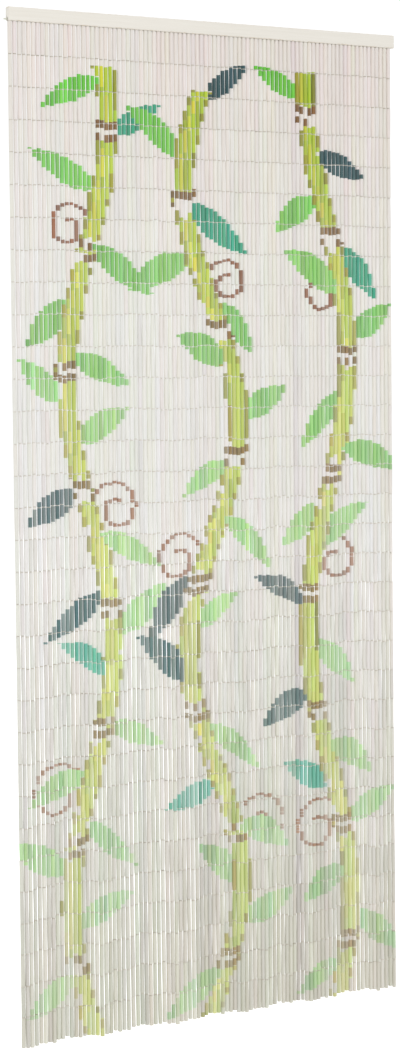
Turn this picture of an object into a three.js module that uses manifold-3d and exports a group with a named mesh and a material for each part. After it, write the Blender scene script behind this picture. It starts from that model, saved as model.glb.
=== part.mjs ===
// A bamboo door curtain: strands of thin bamboo hung side by side on a steel rod, which lies in a
// groove in the underside of a painted wooden rail.
// Sizes are in millimetres. X runs along the rail, left to right from the front, -Y is the front and
// Z is up. The origin is the middle of the rail's back face, the face that is fixed to a door frame.

import * as THREE from "three";
import { mergeVertices } from "three/addons/utils/BufferGeometryUtils.js";
import Module from "manifold-3d";

const wasm = await Module();
wasm.setup();

// Driving dimensions
const curtainHeight = 2000; // top of the rail to the end of the longest strand
const clearance = 0.3; // between pieces that touch

const rail = {
  length: 906,
  depth: 12,
  height: 26,
  cornerRadius: 1.6,
  cornerSteps: 4,
};

const rod = {
  diameter: 3,
  sides: 8,
  length: 906,
  shift: -7.5, // it has slid to the left in its groove, so that its left end shows
  aboveUnderside: 3, // from the rail's underside up to the rod's axis
};

const strand = {
  count: 90,
  pitch: 10,
  shift: -3.5, // the row of strands sits this far to the left of the rail's middle
  width: 7.2, // a square section with the area of a round cane 8.1 mm across
  steps: 8, // straight stretches down the length of a strand
  gapUnderRail: 0.5,
};

const neck = {
  width: 1.6, // the wire link from the rod to the top of a strand
  overlap: 1, // how far it reaches into the strand
};

// The part of the groove where the links go round the rod is wider than its two ends.
const pocket = {
  width: 5,
  beyondStrands: 2.5,
};

// How strands wander from plumb. Each row is one wave: its size at the bottom, its turn from one
// strand to the next and down the length (in radians), its start, and the power of the depth that
// it grows with.
const sideSway = [
  { size: 2.2, perStrand: 0.13, downLength: 2.4, start: 0.4, power: 2 },
  { size: 0.5, perStrand: 0.9, downLength: 3.0, start: 0.0, power: 2 },
];
const depthSway = [
  { size: 1.0, perStrand: 0.22, downLength: 2.6, start: 1.1, power: 1 },
];
// How much shorter or longer than the mean each strand hangs, as waves along the row.
const lengthWaves = [
  { size: 3.0, perStrand: 0.37, start: 0.9 },
  { size: 2.0, perStrand: 1.13, start: 0.0 },
  { size: 1.5, perStrand: 2.9, start: 0.5 },
];

// Places worked out from the sizes above
const railTop = rail.height / 2;
const underside = -rail.height / 2;
const middleY = -rail.depth / 2;
const rodZ = underside + rod.aboveUnderside;
const strandTop = underside - strand.gapUnderRail;
const strandEnd = railTop - curtainHeight;

const paintedWood = new THREE.MeshStandardMaterial({
  color: 0xe8e4dc,
  roughness: 0.55,
  metalness: 0,
});
const bambooCane = new THREE.MeshStandardMaterial({
  color: 0xe4ddd4,
  roughness: 0.6,
  metalness: 0,
});

// A closed solid from a three.js geometry, with its shared vertices merged.
function solidFrom(geometry) {
  const bare = geometry.clone();
  bare.deleteAttribute("normal");
  bare.deleteAttribute("uv");
  const merged = mergeVertices(bare, 1e-4);
  return new wasm.Manifold(
    new wasm.Mesh({
      numProp: 3,
      vertProperties: new Float32Array(merged.attributes.position.array),
      triVerts: new Uint32Array(merged.index.array),
    }),
  );
}

// A three.js geometry from a solid.
function geometryFrom(solid) {
  const mesh = solid.getMesh();
  const geometry = new THREE.BufferGeometry();
  const corners = new THREE.BufferAttribute(mesh.vertProperties, mesh.numProp);
  geometry.setAttribute("position", corners);
  geometry.setIndex(new THREE.BufferAttribute(mesh.triVerts, 1));
  geometry.computeVertexNormals();
  return geometry;
}

function namedMesh(name, geometry, material) {
  const mesh = new THREE.Mesh(geometry, material);
  mesh.name = name;
  return mesh;
}

function boxAt(sizeX, sizeY, sizeZ, x, y, z) {
  return new THREE.BoxGeometry(sizeX, sizeY, sizeZ).translate(x, y, z);
}

// The rail's cross-section, a rectangle with rounded corners, in (y, z).
function railOutline() {
  const { depth, height, cornerRadius: r } = rail;
  const outline = new THREE.Shape();
  outline.absarc(-r, height / 2 - r, r, 0, Math.PI / 2);
  outline.absarc(r - depth, height / 2 - r, r, Math.PI / 2, Math.PI);
  outline.absarc(r - depth, r - height / 2, r, Math.PI, 1.5 * Math.PI);
  outline.absarc(-r, r - height / 2, r, 1.5 * Math.PI, 2 * Math.PI);
  outline.closePath();
  return outline;
}

// A slot cut up into the underside, in the middle of the rail's depth.
function slotSolid(width, fromX, toX) {
  const slotTop = rodZ + rod.diameter / 2 + clearance;
  const slotBottom = underside - 1; // past the underside, so that the cut is open
  const middleX = (fromX + toX) / 2;
  const middleZ = (slotTop + slotBottom) / 2;
  const height = slotTop - slotBottom;
  return solidFrom(boxAt(toX - fromX, width, height, middleX, middleY, middleZ));
}

function makeRail() {
  const alongX = new THREE.Matrix4().makeBasis(
    new THREE.Vector3(0, 1, 0),
    new THREE.Vector3(0, 0, 1),
    new THREE.Vector3(1, 0, 0),
  );
  const batten = new THREE.ExtrudeGeometry(railOutline(), {
    depth: rail.length,
    curveSegments: rail.cornerSteps,
    bevelEnabled: false,
  })
    .applyMatrix4(alongX)
    .translate(-rail.length / 2, 0, 0);
  const pastEnd = rail.length / 2 + 1;
  const groove = slotSolid(rod.diameter + 2 * clearance, -pastEnd, pastEnd);
  const firstX = strandX(0) - pocket.beyondStrands;
  const lastX = strandX(strand.count - 1) + pocket.beyondStrands;
  const linkPocket = slotSolid(pocket.width, firstX, lastX);
  const grooved = solidFrom(batten).subtract(groove).subtract(linkPocket);
  return namedMesh("rail", geometryFrom(grooved), paintedWood);
}

// Where a strand hangs from, along the rail.
function strandX(index) {
  return strand.shift + (index - (strand.count - 1) / 2) * strand.pitch;
}

// How far a strand has wandered at a depth from 0, its top, to 1, its end.
function sway(waves, index, depth) {
  return waves.reduce(
    (sum, { size, perStrand, downLength, start, power }) =>
      sum + size * depth ** power * Math.sin(perStrand * index + downLength * depth + start),
    0,
  );
}

// How much longer a strand is than the mean.
function extraLength(index) {
  return lengthWaves.reduce(
    (sum, { size, perStrand, start }) => sum + size * Math.sin(perStrand * index + start),
    0,
  );
}

// The height at which a strand ends: the longest one reaches the curtain's full height.
function strandEndZ(index) {
  const extras = Array.from({ length: strand.count }, (_, i) => extraLength(i));
  return strandEnd + Math.max(...extras) - extras[index];
}

// One strand: a square bar in straight stretches that wanders a little from plumb.
function strandSolid(index) {
  const endZ = strandEndZ(index);
  const length = strandTop - endZ;
  const bar = new THREE.BoxGeometry(
    strand.width,
    strand.width,
    length,
    1,
    1,
    strand.steps,
  ).translate(0, 0, -length / 2);
  const corners = bar.attributes.position;
  for (let i = 0; i < corners.count; i++) {
    const depth = -corners.getZ(i) / length;
    corners.setX(i, corners.getX(i) + strandX(index) + sway(sideSway, index, depth));
    corners.setY(i, corners.getY(i) + middleY + sway(depthSway, index, depth));
    corners.setZ(i, corners.getZ(i) + strandTop);
  }
  return solidFrom(bar);
}

// The link that joins a strand's top to the rod.
function neckSolid(index) {
  const bottom = strandTop - neck.overlap;
  const height = rodZ - bottom;
  const middleZ = (rodZ + bottom) / 2;
  const { width } = neck;
  return solidFrom(boxAt(width, width, height, strandX(index), middleY, middleZ));
}

function rodSolid() {
  const radius = rod.diameter / 2;
  const bar = new THREE.CylinderGeometry(radius, radius, rod.length, rod.sides)
    .rotateZ(Math.PI / 2)
    .translate(rod.shift, middleY, rodZ);
  return solidFrom(bar);
}

// The strands stand apart but for their roots, which join the rod that carries them.
function makeHungStrands() {
  let joined = rodSolid();
  for (let index = 0; index < strand.count; index++) {
    joined = joined.add(neckSolid(index)).add(strandSolid(index));
  }
  return namedMesh("hung_strands", geometryFrom(joined), bambooCane);
}

const curtain = new THREE.Group();
curtain.add(makeRail(), makeHungStrands());

export default curtain;
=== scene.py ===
"""Bamboo door curtain: the visual model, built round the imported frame.

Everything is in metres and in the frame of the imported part: X along the rail, -Y the front, Z up, and
the origin in the middle of the rail's back face.
"""

from __future__ import annotations

import logging
import math
from collections.abc import Callable, Iterator, Sequence
from dataclasses import dataclass, field
from enum import Enum

import bmesh
import bpy
import numpy as np
from mathutils import Matrix, Quaternion, Vector

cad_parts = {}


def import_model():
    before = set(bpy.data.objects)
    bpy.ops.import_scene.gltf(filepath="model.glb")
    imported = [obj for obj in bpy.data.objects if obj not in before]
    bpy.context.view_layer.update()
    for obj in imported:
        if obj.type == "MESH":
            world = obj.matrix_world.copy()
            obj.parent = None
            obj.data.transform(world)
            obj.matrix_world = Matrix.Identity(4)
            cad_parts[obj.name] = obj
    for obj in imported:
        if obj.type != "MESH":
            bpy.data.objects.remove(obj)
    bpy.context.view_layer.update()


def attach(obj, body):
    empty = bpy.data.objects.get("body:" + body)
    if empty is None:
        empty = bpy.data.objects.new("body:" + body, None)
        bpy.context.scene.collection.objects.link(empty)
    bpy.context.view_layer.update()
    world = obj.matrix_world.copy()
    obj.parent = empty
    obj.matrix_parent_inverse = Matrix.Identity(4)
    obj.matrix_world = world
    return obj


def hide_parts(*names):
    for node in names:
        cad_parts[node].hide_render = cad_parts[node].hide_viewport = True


LOG = logging.getLogger("door_curtain")
MM = 0.001
SEED = 5210
BODY = "root"
BAKE_UV = "OFBake"

Colour = tuple[float, float, float]
Cover = Callable[[np.ndarray, np.ndarray], np.ndarray]


def linear(red: int, green: int, blue: int) -> Colour:
    """Turns a display colour of 0 to 255 into the linear one that shaders take.

    Args:
        red: the red level, from 0 to 255.
        green: the green level.
        blue: the blue level.

    Returns:
        The linear red, green and blue.
    """

    def one(level: int) -> float:
        """Turns one channel."""
        part = level / 255
        return part / 12.92 if part <= 0.04045 else ((part + 0.055) / 1.055) ** 2.4

    return one(red), one(green), one(blue)


def opaque(colour: Sequence[float]) -> tuple[float, float, float, float]:
    """Adds a full alpha to a colour."""
    return colour[0], colour[1], colour[2], 1.0


class Draw(Enum):
    """The streams of random numbers, kept apart so that a change to one leaves the others alone."""

    LEAVES = 3
    RAGGED = 7
    STRAND_SHADE = 11
    TUBE_SHADE = 13
    JOINTS = 17
    TUBES = 19
    EYES = 23
    HANGERS = 29
    THINNING = 31

    def start(self, *numbers: int) -> np.random.Generator:
        """Starts the stream, or the part of it that has these numbers."""
        return np.random.default_rng((SEED, self.value, *numbers))


# Where the strands hang


@dataclass(frozen=True)
class Wave:
    """One wave of the strands' wander, as in the part's own solids.

    Attributes:
        size: how far it reaches, in metres.
        per_strand: its turn from one strand to the next, in radians.
        start: its turn at the first strand.
        down_length: its turn down the whole length of a strand.
        power: the power of the depth that it grows with.
    """

    size: float
    per_strand: float
    start: float
    down_length: float = 0.0
    power: int = 0

    def at(self, strand: np.ndarray, depth: np.ndarray) -> np.ndarray:
        """Gives the wave's reach for strands at depths from 0, the top, to 1, the end."""
        turn = self.per_strand * strand + self.down_length * depth + self.start
        return self.size * depth**self.power * np.sin(turn)


@dataclass(frozen=True)
class StrandRow:
    """The row of strands under the rail, with the course that each one hangs in."""

    count: int = 90
    pitch: float = 10 * MM
    shift: float = -3.5 * MM
    top: float = -13.5 * MM
    longest_end: float = -1987 * MM
    middle_y: float = -6 * MM
    side_sway: tuple[Wave, ...] = (
        Wave(2.2 * MM, 0.13, 0.4, 2.4, 2),
        Wave(0.5 * MM, 0.9, 0.0, 3.0, 2),
    )
    depth_sway: tuple[Wave, ...] = (Wave(1.0 * MM, 0.22, 1.1, 2.6, 1),)
    length_waves: tuple[Wave, ...] = (
        Wave(3.0 * MM, 0.37, 0.9),
        Wave(2.0 * MM, 1.13, 0.0),
        Wave(1.5 * MM, 2.9, 0.5),
    )

    def extra_length(self, strand: np.ndarray) -> np.ndarray:
        """Gives how much longer than the mean each strand is."""
        return sum(wave.at(strand, np.zeros_like(strand)) for wave in self.length_waves)

    def end_z(self, strand: np.ndarray) -> np.ndarray:
        """Gives the height at which each strand ends."""
        extras = self.extra_length(np.arange(self.count, dtype=float))
        return self.longest_end + extras.max() - self.extra_length(strand)

    def centre(self, strand: np.ndarray, depth: np.ndarray) -> np.ndarray:
        """Gives points on the strands' centre lines.

        Args:
            strand: strand numbers, from the left.
            depth: how far down each point is, from 0 to 1.

        Returns:
            One row of x, y and z for each point.
        """
        x = self.shift + (strand - (self.count - 1) / 2) * self.pitch
        x = x + sum(wave.at(strand, depth) for wave in self.side_sway)
        y = self.middle_y + sum(wave.at(strand, depth) for wave in self.depth_sway)
        z = self.top + depth * (self.end_z(strand) - self.top)
        return np.stack([x, y, z], axis=-1)

    def room(self, strand: np.ndarray, depth: np.ndarray) -> np.ndarray:
        """Gives the distance from each point to the nearer neighbour at its height.

        Args:
            strand: strand numbers, from the left.
            depth: how far down each point is, from 0 to 1.

        Returns:
            One distance for each point.
        """
        here = self.centre(strand, depth)
        gaps = []
        for step in (-1.0, 1.0):
            beside = self.centre(strand + step, depth)
            gaps.append(np.hypot(beside[..., 0] - here[..., 0], beside[..., 1] - here[..., 1]))
        return np.minimum(*gaps)


# The painted design


class Tone(Enum):
    """The paints of the design at the curtain's top, middle and foot, paler lower down as painted
    light.
    """

    LIME = ((168, 194, 0), (204, 218, 100), (212, 222, 138))
    LEMON = ((206, 208, 4), (222, 226, 112), (220, 224, 146))
    OLIVE = ((150, 148, 6), (176, 174, 76), (188, 182, 118))
    KNOT = ((118, 72, 8), (146, 120, 62), (170, 152, 104))
    LEAF = ((86, 196, 0), (176, 226, 144), (194, 224, 176))
    DEEP_LEAF = ((62, 176, 0), (158, 216, 126), (182, 214, 164))
    TEAL = ((34, 152, 116), (52, 186, 148), (122, 198, 182))
    DEEP_TEAL = ((10, 70, 78), (30, 98, 100), (74, 116, 112))
    SLATE = ((28, 68, 74), (62, 98, 102), (104, 128, 124))
    TENDRIL = ((132, 84, 58), (164, 116, 88), (176, 142, 116))

    def at(self, depth: float) -> np.ndarray:
        """Gives the paint's linear colour at a depth from 0 to 1.

        Args:
            depth: how far down the place is, from 0 to 1.

        Returns:
            The linear red, green and blue.
        """
        # Paler towards the foot: painted light.
        top, middle, foot = (np.array(linear(*shade)) for shade in self.value)
        if depth < self.middle_depth():
            return top + (middle - top) * depth / self.middle_depth()
        return middle + (foot - middle) * (depth - self.middle_depth()) / (1 - self.middle_depth())

    @staticmethod
    def middle_depth() -> float:
        """Gives the depth of the middle stop: the painted light pales the paint faster in the upper
        part.
        """
        return 0.4


@dataclass(frozen=True)
class Coat:
    """One motif of the design: its paint, and the places that it covers."""

    tone: Tone
    covers: Cover


@dataclass(frozen=True)
class Vine:
    """A climbing stem that swings from side to side, with darker edges and knots.

    Attributes:
        swing: how far its middle swings to each side.
        period: how far down one full swing takes.
        knot_bow: how far the rings at a knot bow at the vine's edges.
        swell: how much wider the vine is at a knot.
        swell_power: how suddenly it widens there.
    """

    middle: float
    swing: float
    period: float
    start: float
    width: float
    first: float
    last: float
    knot_pitch: float
    knot_start: float
    knot_height: float = 15 * MM
    knot_gap: float = 9 * MM
    knot_bow: float = 5 * MM
    knot_reach: float = 1.05
    swell: float = 0.16
    swell_power: int = 8
    light_stripe: tuple[float, float] = (-0.45, -0.05)
    left_edge: tuple[float, float] = (-1.0, -0.72)
    right_edge: tuple[float, float] = (0.8, 1.0)

    def centre(self, down: np.ndarray | float) -> np.ndarray | float:
        """Gives where the vine's middle is across the row, at a distance down."""
        return self.middle + self.swing * np.sin(2 * math.pi * down / self.period + self.start)

    def side(self, across: np.ndarray, down: np.ndarray) -> np.ndarray:
        """Gives places across the vine, from -1 at its left edge to 1 at its right edge.

        Args:
            across: places across the row, in metres.
            down: their distances down.

        Returns:
            One value for each place.
        """
        phase = (down - self.knot_start) / self.knot_pitch
        width = self.width * (1 + self.swell * np.cos(2 * math.pi * phase) ** self.swell_power)
        return (across - self.centre(down)) / (width / 2)

    def inside(self, low: float, high: float) -> Cover:
        """Gives the cover of the vine between two places across it.

        Args:
            low: where the cover starts across the vine, from -1 to 1.
            high: where it ends.

        Returns:
            The function that tells which places are covered.
        """

        def covers(across: np.ndarray, down: np.ndarray) -> np.ndarray:
            """Tells which places lie between the two."""
            place = self.side(across, down)
            return (place > low) & (place < high) & (down > self.first) & (down < self.last)

        return covers

    def knots(self) -> Cover:
        """Gives the cover of the pairs of dark rings at the knots.

        Returns:
            The function that tells which places are covered.
        """

        def covers(across: np.ndarray, down: np.ndarray) -> np.ndarray:
            """Tells which places lie in a ring.

            Args:
                across: places across the row, in metres.
                down: their distances down.

            Returns:
                True for each place in a ring.
            """
            place = self.side(across, down)
            bow = down + self.knot_bow * place**2
            half = self.knot_pitch / 2
            offset = np.abs((bow - self.knot_start + half) % self.knot_pitch - half)
            ring = (offset > self.knot_gap / 2) & (offset < self.knot_gap / 2 + self.knot_height)
            reach = (down > self.first) & (down < self.last)
            return ring & reach & (np.abs(place) < self.knot_reach)

        return covers

    def coats(self) -> Iterator[Coat]:
        """Gives the vine's coats, in the order that they are painted in.

        Returns:
            The coats, one after the other.
        """
        yield Coat(Tone.LIME, self.inside(-1.0, 1.0))
        yield Coat(Tone.LEMON, self.inside(*self.light_stripe))
        yield Coat(Tone.OLIVE, self.inside(*self.left_edge))
        yield Coat(Tone.OLIVE, self.inside(*self.right_edge))
        yield Coat(Tone.KNOT, self.knots())


@dataclass(frozen=True)
class Leaf:
    """A broad pointed leaf. Its angle is from straight down, turning to the right."""

    across: float
    down: float
    angle: float
    length: float
    width: float
    tone: Tone
    bend: float = 0.08
    base_power: float = 0.8
    side_power: float = 0.85

    def covers(self, across: np.ndarray, down: np.ndarray) -> np.ndarray:
        """Tells which places lie in the leaf.

        Args:
            across: places across the row, in metres.
            down: their distances down.

        Returns:
            True for each place that is covered.
        """
        turn = math.radians(self.angle)
        dx = across - self.across
        dv = down - self.down
        along = (dx * math.sin(turn) + dv * math.cos(turn)) / self.length
        aside = dx * math.cos(turn) - dv * math.sin(turn)
        aside = aside - self.bend * self.length * 4 * along * (1 - along)
        inner = np.clip(along, 0.0, 1.0)
        half = self.width / 2 * np.sin(math.pi * inner**self.base_power) ** self.side_power
        return (along > 0) & (along < 1) & (np.abs(aside) < half)


@dataclass(frozen=True)
class Tendril:
    """A thin curl that winds inwards from the vine."""

    across: float
    down: float
    reach: float
    turns: float
    start: float
    hand: int
    thickness: float = 5 * MM
    stroke: float = 5 * MM
    inward: float = 0.75
    steps: int = 70

    def covers(self, across: np.ndarray, down: np.ndarray) -> np.ndarray:
        """Tells which places lie on the curl.

        Args:
            across: places across the row, in metres.
            down: their distances down.

        Returns:
            True for each place that is covered.
        """
        part = np.linspace(0.0, 1.0, self.steps)
        turn = self.start + self.hand * 2 * math.pi * self.turns * part
        radius = self.reach * (1 - self.inward * part)
        xs = self.across + radius * np.cos(turn) - self.reach * math.cos(self.start)
        vs = self.down + radius * np.sin(turn) - self.reach * math.sin(self.start)
        found = np.zeros(across.shape, dtype=bool)
        for x, v in zip(xs, vs):
            found |= (np.abs(across - x) < self.stroke) & (np.abs(down - v) < self.thickness / 2)
        return found


@dataclass(frozen=True)
class Band:
    """A stretch of paint on one tube, from low to high about the tube's middle."""

    low: float
    high: float
    colour: Colour


@dataclass
class PaintedDesign:
    """The design over the whole row, kept as what each strand carries down its length.

    Attributes:
        step: how finely each strand is marked down its length.
        ragged: how far one strand's marks slip against its neighbours'.
        through: a reach past both ends of any tube, for paint that runs off them.
        marks: the last coat at each step down each strand, or -1.
        tone_steps: how far the choice of paint moves from leaf to leaf and vine to vine.
        curl_starts: where a left and a right curl start, in radians.
    """

    row: StrandRow
    step: float = 1 * MM
    length: float = 1.98
    ragged: float = 2.2 * MM
    through: float = 0.1
    coats: list[Coat] = field(default_factory=list)
    marks: np.ndarray = field(init=False)

    vines: tuple[Vine, ...] = (
        Vine(0.168, 0.050, 1.02, 0.5, 43 * MM, 0.075, 2.0, 0.232, 0.20),
        Vine(0.452, 0.062, 0.93, 2.7, 46 * MM, 0.110, 2.0, 0.254, 0.33),
        Vine(0.735, 0.052, 1.12, 4.3, 44 * MM, 0.060, 2.0, 0.243, 0.15),
    )
    leaf_pitch: float = 0.098
    pitch_spread: tuple[float, float] = (0.82, 1.22)
    first_leaf: tuple[float, float] = (0.01, 0.05)
    bare_foot: float = 0.06
    rising_of_five: tuple[int, int] = (1, 2)
    front_every: int = 3
    tone_steps: tuple[int, int] = (4, 3)
    leaf_root: float = 0.3
    rising_angle: tuple[float, float] = (108, 132)
    hanging_angle: tuple[float, float] = (38, 72)
    leaf_length: tuple[float, float] = (0.118, 0.165)
    leaf_width: tuple[float, float] = (0.040, 0.056)
    leaf_bend: tuple[float, float] = (-0.02, 0.09)
    curls: int = 3
    curl_first: float = 0.32
    curl_pitch: float = 0.55
    curl_step: float = 0.07
    curl_reach: float = 0.052
    curl_growth: float = 0.008
    curl_turns: float = 1.35
    curl_starts: tuple[float, float] = (0.2, 2.9)
    strand_shade: float = 0.09
    tube_shade: float = 0.04
    strand_warmth: float = 0.05
    darkest: float = 0.005
    lightest: float = 0.95
    leaf_tones: tuple[Tone, ...] = (
        Tone.LEAF,
        Tone.DEEP_LEAF,
        Tone.LEAF,
        Tone.LEAF,
        Tone.TEAL,
        Tone.DEEP_LEAF,
        Tone.LEAF,
        Tone.DEEP_TEAL,
        Tone.LEAF,
        Tone.DEEP_LEAF,
        Tone.SLATE,
    )

    def __post_init__(self) -> None:
        """Lays the coats and marks what each strand carries."""
        self.coats = list(self.lay_coats())
        strand = np.arange(self.row.count)
        down = np.arange(0.0, self.length, self.step)
        across = np.repeat(((strand + 0.5) * self.row.pitch)[:, None], len(down), axis=1)
        self.marks = np.full(across.shape, -1)
        for number, coat in enumerate(self.coats):
            rng = Draw.RAGGED.start(number)
            shake = rng.uniform(-self.ragged, self.ragged, (self.row.count, 1))
            self.marks[coat.covers(across, down[None, :] + shake)] = number

    def vine_leaves(self, number: int, vine: Vine) -> Iterator[tuple[bool, Leaf]]:
        """Gives a vine's leaves, each with whether it lies in front of the vines.

        Args:
            number: the vine's number.
            vine: the vine.

        Returns:
            The leaves, from the top down.
        """
        rng = Draw.LEAVES.start(number)
        down = vine.first + rng.uniform(*self.first_leaf)
        turn = number
        while down < min(vine.last, self.length - self.bare_foot):
            side = 1 if turn % 2 else -1
            rising = turn % 5 in self.rising_of_five
            angle = rng.uniform(*(self.rising_angle if rising else self.hanging_angle))
            pick = turn * self.tone_steps[0] + number * self.tone_steps[1]
            tone = self.leaf_tones[pick % len(self.leaf_tones)]
            leaf = Leaf(
                across=float(vine.centre(down)) + side * vine.width * self.leaf_root,
                down=down,
                angle=side * angle,
                length=rng.uniform(*self.leaf_length),
                width=rng.uniform(*self.leaf_width),
                tone=tone,
                bend=side * rng.uniform(*self.leaf_bend),
            )
            yield turn % self.front_every == 0, leaf
            down += self.leaf_pitch * rng.uniform(*self.pitch_spread)
            turn += 1

    def lay_coats(self) -> Iterator[Coat]:
        """Gives every coat of the design, from the first painted to the last.

        Returns:
            The coats, one after the other.
        """
        for number, vine in enumerate(self.vines):
            for step in range(self.curls):
                down = vine.first + self.curl_first + step * self.curl_pitch + self.curl_step * number
                hand = 1 if (number + step) % 2 else -1
                across = float(vine.centre(down))
                reach = self.curl_reach + self.curl_growth * step
                start = self.curl_starts[0 if hand < 0 else 1]
                curl = Tendril(across, down, reach, self.curl_turns, start, hand)
                yield Coat(Tone.TENDRIL, curl.covers)
        front = []
        for number, vine in enumerate(self.vines):
            for is_front, leaf in self.vine_leaves(number, vine):
                coat = Coat(leaf.tone, leaf.covers)
                if is_front:
                    front.append(coat)
                else:
                    yield coat
        for vine in self.vines:
            yield from vine.coats()
        yield from front

    def colour(self, strand: int, tube: int, number: int, depth: float) -> Colour:
        """Gives a coat's colour on one tube, which differs a little from its neighbours'.

        Args:
            strand: the strand's number.
            tube: the tube's number down the strand.
            number: the coat's number.
            depth: how far down the tube is, from 0 to 1.

        Returns:
            The linear red, green and blue.
        """
        by_strand = Draw.STRAND_SHADE.start(number, strand)
        by_tube = Draw.TUBE_SHADE.start(number, strand, tube)
        shade = by_strand.normal(1.0, self.strand_shade) * by_tube.normal(1.0, self.tube_shade)
        warmth = by_strand.normal(0.0, self.strand_warmth)
        # The tone at this depth carries the painted light that pales the design towards the foot.
        colour = self.coats[number].tone.at(depth) * shade
        colour = colour * np.array([1 + warmth, 1.0, 1 - warmth])
        return tuple(float(part) for part in np.clip(colour, self.darkest, self.lightest))

    def bands(self, strand: int, tube: int, top: float, bottom: float) -> list[Band]:
        """Cuts out what one tube carries.

        Args:
            strand: the strand's number.
            tube: the tube's number down the strand.
            top: how far down the strand the tube starts.
            bottom: how far down it ends.

        Returns:
            Its stretches of paint, from the top.
        """
        first = max(0, round(top / self.step))
        last = min(self.marks.shape[1], round(bottom / self.step))
        marks = self.marks[strand, first:last]
        edges = [0, *(np.flatnonzero(np.diff(marks)) + 1), len(marks)]
        middle = (top + bottom) / 2
        found = []
        for start, stop in zip(edges[:-1], edges[1:]):
            number = int(marks[start])
            if number < 0:
                continue
            high = self.through if start == 0 else middle - (first + start) * self.step
            low = -self.through if stop == len(marks) else middle - (first + stop) * self.step
            colour = self.colour(strand, tube, number, min(1.0, middle / self.length))
            found.append(Band(low, high, colour))
        return found


# Meshes for the shapes that repeat


def set_values(mesh: bpy.types.Mesh, name: str, kind: str, domain: str, values: np.ndarray) -> None:
    """Stores named values on a mesh.

    Args:
        mesh: the mesh.
        name: the attribute's name.
        kind: its type, such as FLOAT_VECTOR.
        domain: POINT, EDGE, FACE or CORNER.
        values: one row for each element.
    """
    attribute = mesh.attributes.new(name, kind, domain)
    slot = {"FLOAT": "value", "BOOLEAN": "value", "FLOAT_COLOR": "color"}.get(kind, "vector")
    flat = np.ascontiguousarray(values).ravel()
    attribute.data.foreach_set(slot, flat if kind == "BOOLEAN" else flat.astype(np.float32))


@dataclass(frozen=True)
class StripMesh:
    """A mesh of rings joined strip by strip, with room for each strip in a cell of the bake map.

    Attributes:
        rings: the rings' points, one array of shape (sides, 3) for each.
        shares: how much of the cell's height each strip takes.
        closed: whether the last ring joins the first, else both ends get a cap.
        sharp_rings: the rings whose edges are crisp.
        outer: how far out each ring is, from 0 in a bore to 1 on the skin, where that matters.
    """

    rings: tuple[np.ndarray, ...]
    shares: tuple[float, ...]
    closed: bool
    sharp_rings: frozenset[int] = frozenset()
    outer: tuple[float, ...] = ()
    margin: float = 0.04
    cap_column: float = 0.07
    cap_height: float = 0.25
    cap_share: float = 0.35

    def quad_corners(self) -> Iterator[tuple[int, int, int]]:
        """Gives each quad as its ring, the ring after it, and its side.

        Returns:
            The quads, strip by strip.
        """
        sides = len(self.rings[0])
        for strip in range(len(self.shares)):
            for side in range(sides):
                yield strip, (strip + 1) % len(self.rings), side

    def cap_map(self, top: bool) -> list[tuple[float, float]]:
        """Gives a cap's corners in the cell.

        Args:
            top: whether it is the cap of the last ring.

        Returns:
            The corners' places, one for each side.
        """
        sides = len(self.rings[0])
        middle = (1 - self.cap_column / 2, 1 - self.cap_height if top else self.cap_height)
        size = self.cap_column * self.cap_share
        turns = [2 * math.pi * side / sides for side in range(sides)]
        return [(middle[0] + size * math.cos(t), middle[1] + size * math.sin(t)) for t in turns]

    def build(self, name: str) -> bpy.types.Mesh:
        """Makes the mesh, with its cell map and its own coordinates as attributes.

        Args:
            name: the mesh's name.

        Returns:
            The mesh.
        """
        sides = len(self.rings[0])
        points = np.concatenate(self.rings)
        levels = np.concatenate([[0.0], np.cumsum(self.shares)]) / sum(self.shares)
        levels = self.margin + levels * (1 - 2 * self.margin)
        wide = 1 - self.margin - self.cap_column
        faces: list[list[int]] = []
        mapped: list[tuple[float, float]] = []
        for strip, after, side in self.quad_corners():
            beside = (side + 1) % sides
            left = self.margin + (wide - self.margin) * side / sides
            right = self.margin + (wide - self.margin) * (side + 1) / sides
            low, high = levels[strip], levels[strip + 1]
            start, end = strip * sides, after * sides
            faces.append([start + side, start + beside, end + beside, end + side])
            mapped += [(left, low), (right, low), (right, high), (left, high)]
        if not self.closed:
            last = (len(self.rings) - 1) * sides
            faces.append(list(range(sides))[::-1])
            mapped += self.cap_map(top=False)[::-1]
            faces.append([last + side for side in range(sides)])
            mapped += self.cap_map(top=True)
        mesh = bpy.data.meshes.new(name)
        mesh.from_pydata(points.tolist(), [], faces, shade_flat=False)
        set_values(mesh, "cell_uv", "FLOAT2", "CORNER", np.array(mapped))
        set_values(mesh, "shape", "FLOAT_VECTOR", "POINT", points)
        if self.outer:
            set_values(mesh, "outer", "FLOAT", "POINT", np.repeat(self.outer, sides))
        sharp = [
            edge.vertices[0] // sides == edge.vertices[1] // sides
            and edge.vertices[0] // sides in self.sharp_rings
            for edge in mesh.edges
        ]
        set_values(mesh, "sharp_edge", "BOOLEAN", "EDGE", np.array(sharp))
        return mesh


class CaneShape(Enum):
    """How a tube's outside runs: its radius at the foot, at two places between, and at the top."""

    STRAIGHT = (1.0, 1.005, 1.005, 1.0)
    TAPERED = (1.03, 1.015, 0.985, 0.97)
    WAISTED = (1.015, 0.975, 0.98, 1.01)
    BELLIED = (0.98, 1.02, 1.025, 0.985)


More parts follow.
